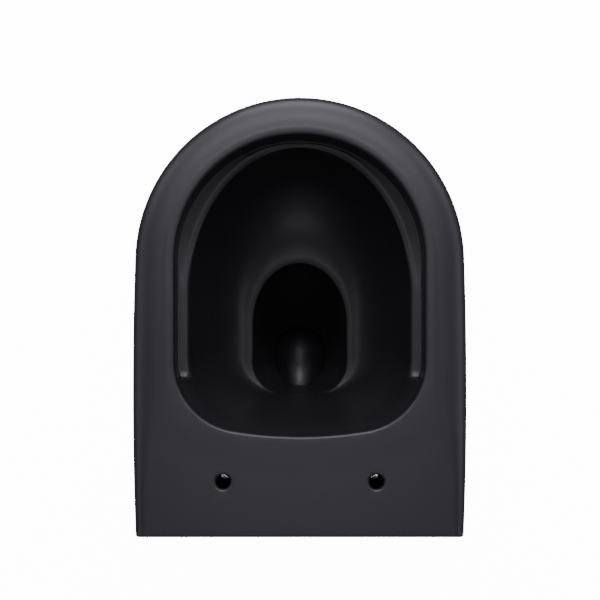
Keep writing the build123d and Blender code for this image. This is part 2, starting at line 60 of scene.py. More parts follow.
RIM_LO, RIM_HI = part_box("rim_casting")
BOWL_LO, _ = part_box("bowl_casting")
SKIRT_LO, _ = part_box("outer_skirt")
SHROUD_LO, SHROUD_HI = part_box("flush_shroud")
MOUNTS = {mount["name"]: mount for mount in frame["record"]["mounts"]}

HALF_WIDTH = RIM_HI.x
LENGTH = -RIM_LO.y
RIM_TOP = RIM_HI.z
LEDGE_Z = RIM_LO.z
SUMP_RING_Z = BOWL_LO.z                  # underside of the ring round the sump
BOTTOM_Z = SKIRT_LO.z
STEP_Y = SHROUD_LO.y                     # the ledges end and the shroud begins
DECK_Z = SHROUD_HI.z                     # underside of the deck
SEAT_HOLES = MOUNTS["seat_holes"]
HOLE_X = SEAT_HOLES["dims"]["spacing_x_mm"] / 2000
HOLE_Y = SEAT_HOLES["pos_m"][1]
HOLE_RADIUS = SEAT_HOLES["dims"]["hole_r_mm"] / 1000

# ---------------------------------------------------------------- the ceramic's own dimensions

WALL = 0.010
SIDE_RADIUS = 3.96                       # seen from above, the sides are very slightly bowed
WIDEST = 161 / 471                       # how far forward the body is widest, as a share of its length
PLAN_CORNER = 0.0035                     # rear corners seen from above
SHARP_CORNER = 0.0002                    # the same where the corner is meant to be sharp
EDGE_WIDTH = 0.030                       # roll-off round the sides and the front
EDGE_DROP = 0.0095
BACK_EDGE_WIDTH = 0.011                  # the same beside the deck, where it is slimmer
BACK_EDGE_DROP = 0.007
REAR_EDGE_RADIUS = 0.003
BASE_HALF_WIDTH = 0.100                  # of the flat underside
BASE_REACH = 0.200

OPENING_RADIUS = 0.1335
OPENING_CENTRE_Y = -0.297
OPENING_REAR_Y = -0.109
OPENING_CORNER = 0.075
OPENING_BOW = 0.440                      # radius of the bowed rear edge
LIP_WIDTH = 0.0042
LIP_DROP = 0.0055
FOOT_HALF_WIDTH = 0.133                  # foot of the rim's inner wall, on the ledge
FOOT_FRONT_Y = -0.427
FOOT_RADIUS = 0.0012
LEAN_START = 0.2                         # how far down the inner wall begins to lean in towards its foot
LEAN_SPAN = 0.7
CROWN = 0.0004                           # the rim's top is slightly domed
CROWN_SHARE = 0.02                       # and no higher than this share of the rim's width
VALLEY = 0.0003                          # faint hollow in the deck, behind the rim
VALLEY_PLACE = 0.040
VALLEY_WIDTH = 0.014
DECK_FROM = 0.05                         # the hollow appears where the rim is wider than this
DECK_BLEND = 0.03

LEDGE_HALF_WIDTH = 0.120
LEDGE_FRONT_Y = -0.4195
LEDGE_CENTRE_Y = -0.262
LEDGE_REAR_Y = -0.119
LEDGE_CORNER = 0.066
SUMP_HALF_WIDTH = 0.054
SUMP_FRONT_Y = -0.296
SUMP_CENTRE_Y = -0.225
SUMP_REAR_Y = -0.143
SUMP_CORNER = 0.038
BOW_RATIO = 3.3                          # radius of the bowl's bowed rear, against its half width
LEDGE_FALL = 0.0034                      # the ledge tips into the bowl round the front
LEVEL_TO_Y = -0.262                      # it is level from the step to here
FALL_LENGTH = 0.060
BOWL_SHELL = 0.009
BOWL_EDGE_RADIUS = 0.0075
BOWL_END = math.radians(85.4)            # the bowl's quarter-ellipse profile stops here, nearly level
UNDERSIDE_END = math.radians(88)
SUMP_Z = SUMP_RING_Z + 0.010
SUMP_EDGE_RADIUS = 0.003
SUMP_MIDDLE_Y = -0.215
MIDDLE_POWER = 1.5                       # how late the middle of the rings moves there

RAMP_LENGTH = 0.009                      # the ledge turns up into the outlet over this length
RAMP_HEIGHT = 0.006
RAMP_SPREAD = 0.5                        # sine of the furthest column from the step that can be ramped
SHROUD_WALL = 0.004
SHROUD_ENTRY = 1.2                       # slope under the lip, against the average
BELOW_SHROUD = 4                         # row of the bowl that gives the slope where the shroud ends
OUTLET_LIP_SHARE = 0.45                  # most of the ledge's end that the shroud's wall takes up
OUTLET_DEPTH = 0.014
FLANGE_THICKNESS = 0.010
FLANGE_STEP = 0.006
FLANGE_REACH = 0.024                     # floor of the flush channel, measured out from the opening
HOLE_LIP = 0.003
HOLE_CHAMFER = 0.001                     # round the hole on the deck's underside
HOLE_PATCH = 0.017                       # faces this near to a hole are filled anew
SAME_HEIGHT = 0.002                      # and this near in height
UPPER_FACE = 0.006                       # anything this far above the deck's underside is its top

# ---------------------------------------------------------------- how finely the shapes are divided

REAR_POINTS = 60                         # the body's outline: rear, corner, side, front
CORNER_POINTS = 24
SIDE_POINTS = 200
FRONT_POINTS = 300
EGG_REAR_POINTS = 80                     # the outlines of the opening and the bowl
EGG_CORNER_POINTS = 160
EGG_SIDE_POINTS = 60
EGG_FRONT_POINTS = 300

FRONT_COLUMNS = 116                      # from the front centre until near the step
STEP_COLUMNS = 16                        # closer ones up to the step
SIDE_COLUMNS = 48                        # from the step until near the rear corner
CORNER_COLUMNS = 14                      # the closest, across the corner
BACK_COLUMNS = 48                        # along the wall to the middle
STEP_SPREAD = 0.10                       # angles that the closer columns cover
CORNER_SPREAD = 0.014
EDGE_SHARE = 0.962                       # the skirt's last column, against the half width at the wall
REAR_BLEND = 40                          # how quickly the side's roll-off turns into the rear edge

ROLL_ROWS = 14
CROWN_ROWS = 17
LIP_ROWS = 9
WALL_ROWS = 12
FOOT_ROWS = 5
LEDGE_ROWS = 6
EDGE_ROWS = 9
BOWL_ROWS = 34
SUMP_EDGE_ROWS = 6
UNDERSIDE_ROWS = 24
UPPER_SKIRT_ROWS = 5
SKIRT_ROWS = 40
CAP_ROWS = 41
HOLE_POINTS = 48
HOLE_LIP_ROWS = 8
HOLE_ROWS = 4
OUTLET_ROWS = (6, 14)                    # the flush outlet lies between these rows of the end wall
RAMPED = 14                              # first row of the ledge that turns up at its ends
CAVITY_SHARES = (0.25, 0.5, 0.75, 1)     # rows from the flange out to the skirt's inner face
MERGED = 2e-5                            # points closer than this become one

# ---------------------------------------------------------------- outlines, as closed rings of points

def arc(centre, radii, start, end, count):
    """Points on an elliptical arc, angles in radians."""
    angles = np.linspace(start, end, count)
    return np.column_stack([centre[0] + radii[0] * np.cos(angles), centre[1] + radii[1] * np.sin(angles)])


def mirrored(right_half):
    """Close a half outline that runs from the rear to the front on the +X side."""
    left_half = right_half[::-1] * np.array([-1, 1])
    return np.vstack([right_half, left_half])


def body_outline(half_width, reach, inset=0.0, rear_inset=0.0, corner=PLAN_CORNER):
    """The body at one level: flat at the wall, bowed sides and a round front."""
    widest = -WIDEST * reach
    ahead = reach + widest
    front_radius = (half_width * (2 * SIDE_RADIUS - half_width) - ahead**2) / (2 * (SIDE_RADIUS - ahead))
    side_centre = np.array([half_width - SIDE_RADIUS, widest])
    front_centre = np.array([0, front_radius - reach])
    away = front_centre - side_centre
    tangent = math.atan2(away[1], away[0])
    side_radius = SIDE_RADIUS - inset
    rear_y = -rear_inset
    corner = max(corner - inset, SHARP_CORNER)
    corner_y = rear_y - corner
    corner_x = side_centre[0] + math.sqrt((side_radius - corner) ** 2 - (corner_y - widest) ** 2)
    turn = math.atan2(corner_y - widest, corner_x - side_centre[0])
    return mirrored(np.vstack([
        np.column_stack([np.linspace(0, corner_x, REAR_POINTS), np.full(REAR_POINTS, rear_y)])[:-1],
        arc((corner_x, corner_y), (corner, corner), math.pi / 2, turn, CORNER_POINTS),
        arc(side_centre, (side_radius, side_radius), turn, tangent, SIDE_POINTS)[1:-1],
        arc(front_centre, (front_radius - inset,) * 2, tangent, -math.pi / 2, FRONT_POINTS),
    ]))


def half_width_at_wall(half_width, reach):
    """Half the width of the body at the wall, with its corners left sharp."""
    return float(body_outline(half_width, reach, corner=SHARP_CORNER)[:REAR_POINTS, 0].max())


def egg_outline(half_width, front, centre, rear, corner, bow):
    """Half ellipse in front of centre, straight sides, round rear corners and a bowed rear edge."""
    flat = half_width - corner
    bow_y = rear - bow
    corner_y = bow_y + math.sqrt((bow - corner) ** 2 - flat**2)
    turn = math.atan2(corner_y - bow_y, flat)
    return mirrored(np.vstack([
        arc((0, bow_y), (bow, bow), math.pi / 2, turn, EGG_REAR_POINTS)[:-1],
        arc((flat, corner_y), (corner, corner), turn, 0, EGG_CORNER_POINTS),
        np.column_stack([
            np.full(EGG_SIDE_POINTS, half_width),
            np.linspace(corner_y, centre, EGG_SIDE_POINTS),
        ])[1:-1],
        arc((0, centre), (half_width, centre - front), 0, -math.pi / 2, EGG_FRONT_POINTS),
    ]))


def opening_outline(grow):
    """The opening in the rim, grown outwards by a distance."""
    half_width = OPENING_RADIUS + grow
    return egg_outline(
        half_width, OPENING_CENTRE_Y - half_width, OPENING_CENTRE_Y,
        OPENING_REAR_Y + grow, OPENING_CORNER + grow, OPENING_BOW + grow,
    )


def bowl_outline(blend, depth_share, grow=0.0):
    """The bowl at one level: blend runs from 1 to 0 and depth_share from 0 to 1, ledge to sump."""
    half_width = SUMP_HALF_WIDTH + (LEDGE_HALF_WIDTH - SUMP_HALF_WIDTH) * blend
    front = SUMP_FRONT_Y + (LEDGE_FRONT_Y - SUMP_FRONT_Y) * blend - grow
    centre = SUMP_CENTRE_Y + (LEDGE_CENTRE_Y - SUMP_CENTRE_Y) * blend
    rear = LEDGE_REAR_Y + (SUMP_REAR_Y - LEDGE_REAR_Y) * depth_share + grow
    corner = SUMP_CORNER + (LEDGE_CORNER - SUMP_CORNER) * blend + grow
    return egg_outline(half_width + grow, front, centre, rear, corner, BOW_RATIO * half_width + grow)


# ---------------------------------------------------------------- columns and rings

WALL_HALF_WIDTH = half_width_at_wall(HALF_WIDTH, LENGTH)
CORNER_ANGLE = math.atan2(-STEP_Y, WALL_HALF_WIDTH)
EDGE_ANGLE = math.atan2(-STEP_Y, EDGE_SHARE * WALL_HALF_WIDTH)
INNER_ANGLE = math.atan2(-STEP_Y, half_width_at_wall(HALF_WIDTH - WALL, LENGTH - WALL))


def column_angles():
    """Angles of the columns about (0, STEP_Y), from the front centre round the right side and back."""
    right = np.concatenate([
        np.linspace(-math.pi / 2, -STEP_SPREAD, FRONT_COLUMNS, endpoint=False),
        np.linspace(-STEP_SPREAD, 0, STEP_COLUMNS, endpoint=False),
        np.linspace(0, CORNER_ANGLE - CORNER_SPREAD, SIDE_COLUMNS, endpoint=False),
        np.linspace(CORNER_ANGLE - CORNER_SPREAD, CORNER_ANGLE + CORNER_SPREAD, CORNER_COLUMNS),
        [EDGE_ANGLE],
        np.linspace(INNER_ANGLE, math.pi / 2, BACK_COLUMNS),
    ])
    return np.concatenate([right, (math.pi - right[::-1])[1:-1]])


ANGLES = column_angles()
COUNT = len(ANGLES)
STEP_RIGHT = FRONT_COLUMNS + STEP_COLUMNS
EDGE_RIGHT = STEP_RIGHT + SIDE_COLUMNS + CORNER_COLUMNS
STEP_LEFT = COUNT - STEP_RIGHT
EDGE_LEFT = COUNT - EDGE_RIGHT
AHEAD = np.r_[STEP_LEFT:COUNT, 0:STEP_RIGHT + 1]         # columns that cross a ledge
BEHIND = np.r_[STEP_RIGHT:STEP_LEFT + 1]                 # columns that cross the shroud
SKIRTED = np.r_[EDGE_LEFT:COUNT, 0:EDGE_RIGHT + 1]       # columns that go down the outside


def ring(outline, z, centre_y=STEP_Y, angles=ANGLES):
    """One point of the outline on each column, at height z (a number, or one for each column)."""
    offset = outline - np.array([0, centre_y])
    turns = np.arctan2(offset[:, 1], offset[:, 0])
    radii = np.interp(angles, turns, np.linalg.norm(offset, axis=1), period=2 * math.pi)
    depths = np.minimum(centre_y + radii * np.sin(angles), 0)
    return np.column_stack([radii * np.cos(angles), depths, np.broadcast_to(z, angles.shape)])


def mix(a, b, share):
    """Blend two rings; share may be a number or one for each column."""
    share = np.broadcast_to(share, (len(a),))[:, None]
    return a * (1 - share) + b * share


def smooth(t):
    """0 to 1, starting and ending level."""
    t = np.clip(t, 0, 1)
    return t * t * (3 - 2 * t)


def quarter(count, first=0):
    """Angles from 0 to a right angle."""
    return np.linspace(0, math.pi / 2, count)[first:]


# ---------------------------------------------------------------- the rows of the body, from outside in

# 0 on the columns of the sides and 1 on those of the wall
REARNESS = smooth((np.sin(ANGLES) - math.sin(CORNER_ANGLE)) * REAR_BLEND + 0.5)


def rim_rows():
    """Up the outside, over the roll-off, across the rim and deck, and over the lip of the opening."""
    narrowing = smooth(np.sin(ANGLES) / math.sin(CORNER_ANGLE))
    side_drop = EDGE_DROP + (BACK_EDGE_DROP - EDGE_DROP) * narrowing
    drop = side_drop + (REAR_EDGE_RADIUS - side_drop) * REARNESS
    top = RIM_TOP - CROWN
    rows = [ring(body_outline(HALF_WIDTH, LENGTH), DECK_Z)]
    for angle in quarter(ROLL_ROWS):
        inset = 1 - math.cos(angle)
        rear_inset = REAR_EDGE_RADIUS * inset
        wide = ring(body_outline(HALF_WIDTH, LENGTH, EDGE_WIDTH * inset, rear_inset), 0)
        slim = ring(body_outline(HALF_WIDTH, LENGTH, BACK_EDGE_WIDTH * inset, rear_inset), 0)
        row = mix(wide, slim, narrowing)
        row[:, 2] = top - drop * (1 - math.sin(angle))
        rows.append(row)
    outer = rows[-1]
    inner = ring(opening_outline(LIP_WIDTH), top)
    for share in np.linspace(0, 1, CROWN_ROWS)[1:-1]:
        row = mix(outer, inner, share)
        row[:, 2] = top + crown(row, inner, outer)
        rows.append(row)
    for angle in quarter(LIP_ROWS):
        z = top - LIP_DROP * (1 - math.cos(angle))
        rows.append(ring(opening_outline(LIP_WIDTH * (1 - math.sin(angle))), z))
    return rows


def crown(row, inner, outer):
    """Height above the edges: a low dome, and a faint hollow in the deck behind the opening."""
    across = np.linalg.norm(outer[:, :2] - inner[:, :2], axis=1)
    gone = np.linalg.norm(row[:, :2] - inner[:, :2], axis=1)
    dome = np.sin(np.clip(gone / across, 0, 1) * math.pi)
    hollow = np.exp(-(((gone - VALLEY_PLACE) / VALLEY_WIDTH) ** 2))
    hollow *= smooth((across - DECK_FROM) / DECK_BLEND)
    return np.minimum(CROWN, across * CROWN_SHARE) * dome - VALLEY * hollow


def ledge_rows():
    """Down the rim's inner wall, round its foot, across the ledge and over the edge of the bowl."""
    wall_top = RIM_TOP - CROWN - LIP_DROP
    lip = ring(opening_outline(0), 0)
    foot = ring(foot_outline(0), 0)
    rows = []
    for share in np.linspace(0, 1, WALL_ROWS)[1:]:
        row = mix(lip, foot, smooth((share - LEAN_START) / LEAN_SPAN))
        row[:, 2] = wall_top + (LEDGE_Z + FOOT_RADIUS - wall_top) * share
        rows.append(row)
    for angle in quarter(FOOT_ROWS, first=1):
        row = ring(foot_outline(-FOOT_RADIUS * (1 - math.cos(angle))), 0)
        row[:, 2] = LEDGE_Z + FOOT_RADIUS * (1 - math.sin(angle))
        rows.append(row)
    floor_start = rows[-1]
    edge = bowl_rows()[0]
    wide_brink = ring(bowl_outline(1, 0, BOWL_EDGE_RADIUS), 0)
    brink = nearer(wide_brink, ring(foot_outline(-2 * FOOT_RADIUS), 0))
    fall = LEDGE_FALL * smooth((LEVEL_TO_Y - brink[:, 1]) / FALL_LENGTH)
    brink[:, 2] = LEDGE_Z - fall
    for share in np.linspace(0, 1, LEDGE_ROWS)[1:]:
        rows.append(mix(floor_start, brink, share))
    for angle in quarter(EDGE_ROWS, first=1):
        row = mix(edge, brink, 1 - math.sin(angle))
        row[:, 2] = brink[:, 2] - (BOWL_EDGE_RADIUS - fall) * (1 - math.cos(angle))
        rows.append(row)
    for row in rows[RAMPED:-1]:
        run = np.clip(1 - (STEP_Y - row[:, 1]) / RAMP_LENGTH, 0, 1)
        row[:, 2] += RAMP_HEIGHT * (1 - np.sqrt(1 - run**2)) * (np.abs(np.sin(ANGLES)) < RAMP_SPREAD)
    return rows


def foot_outline(grow):
    """Foot of the rim's inner wall."""
    return egg_outline(
        FOOT_HALF_WIDTH + grow, FOOT_FRONT_Y - grow, OPENING_CENTRE_Y,
        OPENING_REAR_Y + grow, OPENING_CORNER + grow, OPENING_BOW + grow,
    )


def nearer(a, b):
    """On each column, whichever ring is nearer to the middle."""
    reach = [np.linalg.norm(points[:, :2] - (0, STEP_Y), axis=1) for points in (a, b)]
    return np.where((reach[0] < reach[1])[:, None], a, b)


def shroud_rows(count):
    """Behind the ledges the wall runs in one sweep from the lip of the opening into the bowl."""
    top = ring(opening_outline(0), RIM_TOP - CROWN - LIP_DROP)
    bottom = bowl_rows()[0]
    below = bowl_rows()[BELOW_SHROUD]
    fall = top[:, 2:] - bottom[:, 2:]
    entry = (bottom - top) * SHROUD_ENTRY
    leaving = (below - bottom) / (bottom[:, 2:] - below[:, 2:]) * fall
    rows = []
    for share in np.linspace(0, 1, count + 1)[1:]:
        row = (
            (1 + 2 * share) * (1 - share) ** 2 * top + share * (1 - share) ** 2 * entry
            + share**2 * (3 - 2 * share) * bottom - share**2 * (1 - share) * leaving
        )
        row[:, 2] = top[:, 2] - fall[:, 0] * share
        rows.append(row)
    return rows


def bowl_rows():
    """Down the bowl, which is steep at the ledge and nearly level where it meets the sump."""
    depth = LEDGE_Z - SUMP_Z
    rows = []
    start = math.asin(BOWL_EDGE_RADIUS / depth)
    for angle in np.linspace(start, BOWL_END, BOWL_ROWS):
        across, along = math.cos(angle), math.sin(angle)
        rows.append(ring(bowl_outline(across, along), LEDGE_Z - depth * along, bowl_centre(along)))
    level = rows[-1][0, 2]
    for angle in quarter(SUMP_EDGE_ROWS, first=1):
        grow = SUMP_EDGE_RADIUS * (1 - math.sin(angle))
        z = level - SUMP_EDGE_RADIUS * (1 - math.cos(angle))
        rows.append(ring(bowl_outline(0, 1, grow), z, bowl_centre(1)))
    rows.append(ring(bowl_outline(0, 1), SUMP_RING_Z, bowl_centre(1)))
    return rows


def bowl_centre(share):
    """Where the columns meet, which moves forward on the way down."""
    return STEP_Y + (SUMP_MIDDLE_Y - STEP_Y) * share**MIDDLE_POWER


def underside_rows():
    """Back up the outside of the bowl to the flange: rows that the ledge and the shroud share."""
    depth = LEDGE_Z - SUMP_RING_Z
    rows = [ring(bowl_outline(0, 1, BOWL_SHELL), SUMP_RING_Z, bowl_centre(1))]
    flange = math.asin(FLANGE_THICKNESS / depth)
    for angle in np.linspace(UNDERSIDE_END, flange, UNDERSIDE_ROWS):
        across, along = math.cos(angle), math.sin(angle)
        outline = bowl_outline(across, along, BOWL_SHELL)
        rows.append(ring(outline, LEDGE_Z - depth * along, bowl_centre(along)))
    return rows


def flange_rows():
    """Out under the flange and up to the deck: the rows ahead of the step, and the rows behind it."""
    low = LEDGE_Z - FLANGE_THICKNESS
    outside = opening_outline(WALL)
    ahead = [ring(outside, z) for z in (low, low + FLANGE_STEP, LEDGE_Z, DECK_Z)]
    behind = [
        ring(opening_outline(FLANGE_REACH), low),
        ring(opening_outline(FLANGE_REACH), LEDGE_Z),
        ring(bowl_outline(1, 0, SHROUD_WALL), LEDGE_Z),
        ring(opening_outline(SHROUD_WALL), DECK_Z),
    ]
    return ahead, behind


# ---------------------------------------------------------------- the skirt: outer face, inner face and caps

def skirt_ring(half_width, reach, z):
    """Outer face of the skirt at one level, on the skirted columns."""
    centre_y = STEP_Y * half_width_at_wall(half_width, reach) / WALL_HALF_WIDTH
    return ring(body_outline(half_width, reach), z, centre_y)[SKIRTED]


def cavity_ring(half_width, reach, z):
    """Inner face of the skirt at the same level; its last columns reach the wall plane."""
    centre_y = STEP_Y * half_width_at_wall(half_width, reach) / WALL_HALF_WIDTH
    inner = body_outline(half_width - WALL, reach - WALL, corner=SHARP_CORNER)
    inner_corner = math.atan2(-centre_y, half_width_at_wall(half_width - WALL, reach - WALL))
    from_front = np.where(ANGLES > math.pi / 2, ANGLES - 1.5 * math.pi, ANGLES + math.pi / 2)
    scale = (inner_corner + math.pi / 2) / (EDGE_ANGLE + math.pi / 2)
    angles = from_front[SKIRTED] * scale - math.pi / 2
    return ring(inner, z, centre_y, angles)


def skirt_levels():
    """Half width, reach, outer height and inner height of each level, from the deck down to the base."""
    levels = [(HALF_WIDTH, LENGTH, z, z) for z in np.linspace(DECK_Z, LEDGE_Z, UPPER_SKIRT_ROWS)[:-1]]
    for angle in np.linspace(0, math.pi / 2, SKIRT_ROWS):
        across, along = math.cos(angle), math.sin(angle)
        half_width = BASE_HALF_WIDTH + (HALF_WIDTH - BASE_HALF_WIDTH) * across
        reach = BASE_REACH + (LENGTH - BASE_REACH) * across
        outer_z = LEDGE_Z + (BOTTOM_Z - LEDGE_Z) * along
        inner_z = LEDGE_Z + (BOTTOM_Z + WALL - LEDGE_Z) * along
        levels.append((half_width, reach, outer_z, inner_z))
    return levels


def cap(row):
    """Rows straight across a U-shaped ring, from the wall to the front."""
    half = len(row) // 2
    across = np.linspace(0, 1, CAP_ROWS)[:, None]
    return [row[k] * (1 - across) + row[-1 - k] * across for k in range(half + 1)]


# ---------------------------------------------------------------- meshes

def sheet(mesh, rows):
    """Faces between successive rows of the same length."""
    verts = [[mesh.verts.new(point) for point in row] for row in rows]
    for upper, lower in zip(verts, verts[1:]):
        for i in range(len(upper) - 1):
            mesh.faces.new((upper[i], upper[i + 1], lower[i + 1], lower[i]))


def pocket(mesh, ahead, behind, column, first, last):
    """End wall of one ledge, with the flush outlet as a pocket between the rows first and last."""
    wall_side = [row[column] for row in ahead]
    shroud_side = [row[column] for row in behind]
    way = 1 if wall_side[0][0] > 0 else -1
    lip_side = []
    for at_wall, at_shroud in zip(wall_side, shroud_side):
        room = abs(at_wall[0] - at_shroud[0])
        lip = at_shroud + np.array([way * min(SHROUD_WALL, OUTLET_LIP_SHARE * room), 0, 0])
        share = abs(lip[0] - at_shroud[0]) / room if room > 0 else 0
        lip[2] = at_shroud[2] + (at_wall[2] - at_shroud[2]) * share
        lip_side.append(lip)
    sheet(mesh, [np.array(shroud_side), np.array(lip_side)])
    sheet(mesh, [np.array(lip_side[:first + 1]), np.array(wall_side[:first + 1])])
    sheet(mesh, [np.array(lip_side[last:]), np.array(wall_side[last:])])
    mouth = np.array(lip_side[first:last + 1] + wall_side[first:last + 1][::-1] + [lip_side[first]])
    back = mouth + np.array([0, OUTLET_DEPTH, 0])
    sheet(mesh, [mouth, back])
    mesh.faces.new([mesh.verts.new(point) for point in back[:-1]])


def drill(mesh, x, y, top_z, bottom_z):
    """A seat-hinge hole with a rounded lip, joined into the deck's two faces."""
    turns = np.linspace(0, 2 * math.pi, HOLE_POINTS, endpoint=False)

    def circle(radius, z):
        across = x + radius * np.cos(turns)
        along = y + radius * np.sin(turns)
        return np.column_stack([across, along, np.full(HOLE_POINTS, z)])

    open_patch(mesh, x, y, top_z, circle(HOLE_RADIUS + HOLE_LIP, top_z))
    open_patch(mesh, x, y, bottom_z, circle(HOLE_RADIUS + HOLE_CHAMFER, bottom_z))
    rows = [
        circle(HOLE_RADIUS + HOLE_LIP * (1 - math.sin(angle)), top_z - HOLE_LIP * (1 - math.cos(angle)))
        for angle in quarter(HOLE_LIP_ROWS)
    ]
    straight = np.linspace(rows[-1][0, 2], bottom_z + HOLE_CHAMFER, HOLE_ROWS)[1:]
    rows += [circle(HOLE_RADIUS, z) for z in straight]
    rows.append(circle(HOLE_RADIUS + HOLE_CHAMFER, bottom_z))
    sheet(mesh, [np.vstack([row, row[:1]]) for row in rows])


def open_patch(mesh, x, y, z, hole):
    """Clear the faces near (x, y, z) and fill up to the hole's circle."""
    near = [
        face for face in mesh.faces
        if math.dist(face.calc_center_median()[:2], (x, y)) < HOLE_PATCH
        and abs(face.calc_center_median().z - z) < SAME_HEIGHT
    ]
    bmesh.ops.delete(mesh, geom=near, context="FACES_ONLY")
    loose = [edge for edge in mesh.edges if not edge.link_faces]
    bmesh.ops.delete(mesh, geom=loose, context="EDGES")
    border = [
        edge for edge in mesh.edges
        if edge.is_boundary and math.dist(edge.verts[0].co[:2], (x, y)) < 2 * HOLE_PATCH
        and abs(edge.verts[0].co.z - z) < SAME_HEIGHT
    ]
    verts = [mesh.verts.new(point) for point in hole]
    rim = [mesh.edges.new((a, b)) for a, b in zip(verts, verts[1:] + verts[:1])]
    bmesh.ops.triangle_fill(mesh, edges=border + rim, use_beauty=True)


def make_body():
    """The whole ceramic body that can be seen, as one closed mesh."""
    mesh = bmesh.new()
    over = rim_rows()
    ledge = ledge_rows()
    shroud = shroud_rows(len(ledge))
    bowl = bowl_rows()
    under = underside_rows()
    flange_ahead, flange_behind = flange_rows()

    levels = skirt_levels()
    outer = [skirt_ring(half_width, reach, z) for half_width, reach, z, _ in levels]
    inner = [cavity_ring(half_width, reach, z) for half_width, reach, _, z in levels]
    cavity_top = over[0].copy()
    cavity_top[SKIRTED] = inner[0]
    flange_ahead += [mix(flange_ahead[-1], cavity_top, share) for share in CAVITY_SHARES]
    flange_behind += [mix(flange_behind[-1], cavity_top, share) for share in CAVITY_SHARES]

    ahead = over + ledge + bowl[1:] + under + flange_ahead
    behind = over + shroud + bowl[1:] + under + flange_behind
    sheet(mesh, [row[AHEAD] for row in ahead])
    sheet(mesh, [row[BEHIND] for row in behind])
    for column in (STEP_RIGHT, STEP_LEFT):
        pocket(mesh, over[-1:] + ledge, over[-1:] + shroud, column, OUTLET_ROWS[0], OUTLET_ROWS[1])
        sheet(mesh, [
            np.array([row[column] for row in under[-1:] + flange_ahead]),
            np.array([row[column] for row in under[-1:] + flange_behind]),
        ])

    sheet(mesh, outer)
    sheet(mesh, inner)
    for end in (0, -1):
        sheet(mesh, [np.array([row[end] for row in outer]), np.array([row[end] for row in inner])])
    outer_cap, inner_cap = cap(outer[-1]), cap(inner[-1])
    sheet(mesh, outer_cap)
    sheet(mesh, inner_cap)
    sheet(mesh, [outer_cap[0], inner_cap[0]])

    bmesh.ops.remove_doubles(mesh, verts=mesh.verts, dist=MERGED)
    bmesh.ops.dissolve_degenerate(mesh, edges=mesh.edges, dist=1e-6)
    for way in (-1, 1):
        drill(mesh, way * HOLE_X, HOLE_Y, deck_height(mesh, way * HOLE_X, HOLE_Y), DECK_Z)
    bmesh.ops.remove_doubles(mesh, verts=mesh.verts, dist=MERGED)
    bmesh.ops.recalc_face_normals(mesh, faces=mesh.faces)
    return finished(mesh, "ceramic_body", sharp_degrees=32)


def deck_height(mesh, x, y):
    """Height of the deck's top face at a hole."""
    nearest = min(
        (vert for vert in mesh.verts if vert.co.z > DECK_Z + UPPER_FACE),
        key=lambda vert: math.dist(vert.co[:2], (x, y)),
    )
    return nearest.co.z


def finished(mesh, name, sharp_degrees):
    """Turn a bmesh into a shown object with smooth shading."""
    data = bpy.data.meshes.new(name)
    mesh.to_mesh(data)
    mesh.free()
    data.shade_smooth()
    data.set_sharp_from_angle(angle=math.radians(sharp_degrees))
    piece = bpy.data.objects.new(name, data)
    bpy.context.scene.collection.objects.link(piece)
    return piece


# ---------------------------------------------------------------- materials

SHEEN_SPREAD = 0.06                      # how far the roughness of the plain materials strays either way


def new_material(name):
    """A fresh material with its nodes, its links and its shader."""
    material = bpy.data.materials.new(name)
    material.use_nodes = True
    nodes = material.node_tree.nodes
    return material, nodes, material.node_tree.links, nodes["Principled BSDF"]


def glaze():
    """Black satin glaze: very dark, with a soft cloudy sheen and a fine orange peel."""
    material, nodes, links, shader = new_material("satin_black_glaze")
    place = nodes.new("ShaderNodeTexCoord")
    clouds = nodes.new("ShaderNodeTexNoise")
    clouds.inputs["Scale"].default_value = 9
    clouds.inputs["Detail"].default_value = 4
    links.new(place.outputs["Object"], clouds.inputs["Vector"])
    sheen = nodes.new("ShaderNodeMapRange")
    sheen.inputs["To Min"].default_value = 0.34
    sheen.inputs["To Max"].default_value = 0.40
    links.new(clouds.outputs["Fac"], sheen.inputs["Value"])
    links.new(sheen.outputs["Result"], shader.inputs["Roughness"])
    colour = nodes.new("ShaderNodeMix")
    colour.data_type = "RGBA"
    colour.inputs["A"].default_value = (0.0125, 0.0125, 0.0145, 1)
    colour.inputs["B"].default_value = (0.0155, 0.0155, 0.0175, 1)
    links.new(clouds.outputs["Fac"], colour.inputs["Factor"])
    links.new(colour.outputs["Result"], shader.inputs["Base Color"])
    peel = nodes.new("ShaderNodeTexNoise")
    peel.inputs["Scale"].default_value = 420
    peel.inputs["Detail"].default_value = 2
    links.new(place.outputs["Object"], peel.inputs["Vector"])
    bump = nodes.new("ShaderNodeBump")
    bump.inputs["Strength"].default_value = 0.06
    bump.inputs["Distance"].default_value = 0.0004
    links.new(peel.outputs["Fac"], bump.inputs["Height"])
    links.new(bump.outputs["Normal"], shader.inputs["Normal"])
    shader.inputs["IOR"].default_value = 1.5
    return material


